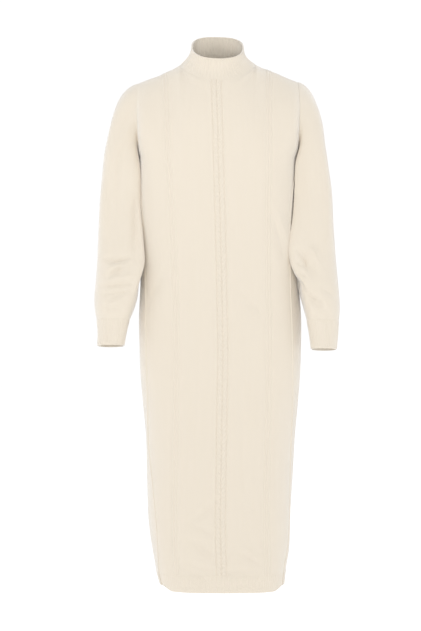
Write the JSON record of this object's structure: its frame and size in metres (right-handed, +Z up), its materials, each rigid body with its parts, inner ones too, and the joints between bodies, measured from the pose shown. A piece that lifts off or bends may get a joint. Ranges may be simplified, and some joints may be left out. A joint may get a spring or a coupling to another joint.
{
  "type": "sweater dress",
  "caption": "Long-sleeved midi sweater dress in cream fine knit, with a ribbed mock neck, cable front, ribbed cuffs, side vents and a ribbed hem.",
  "frame": {"origin": "midway between the neck ends of the two shoulder seams, at their height, where the wearer's shoulders carry the dress", "axes": "+Z up, -Y the way the wearer faces, +X the wearer's left"},
  "size_m": [0.5338, 0.2398, 1.2219],
  "materials": {
    "knit": "soft matt fine-gauge jersey knit with cables",
    "rib": "soft matt rib knit"
  },
  "bodies": {
    "root": {"front_body": "knit", "back_body": "knit", "sleeve_left": "knit", "sleeve_right": "knit", "neck_rib": "rib", "cuff_left": "rib", "cuff_right": "rib", "hem_front": "rib", "hem_back": "rib"}
  },
  "joints": []
}
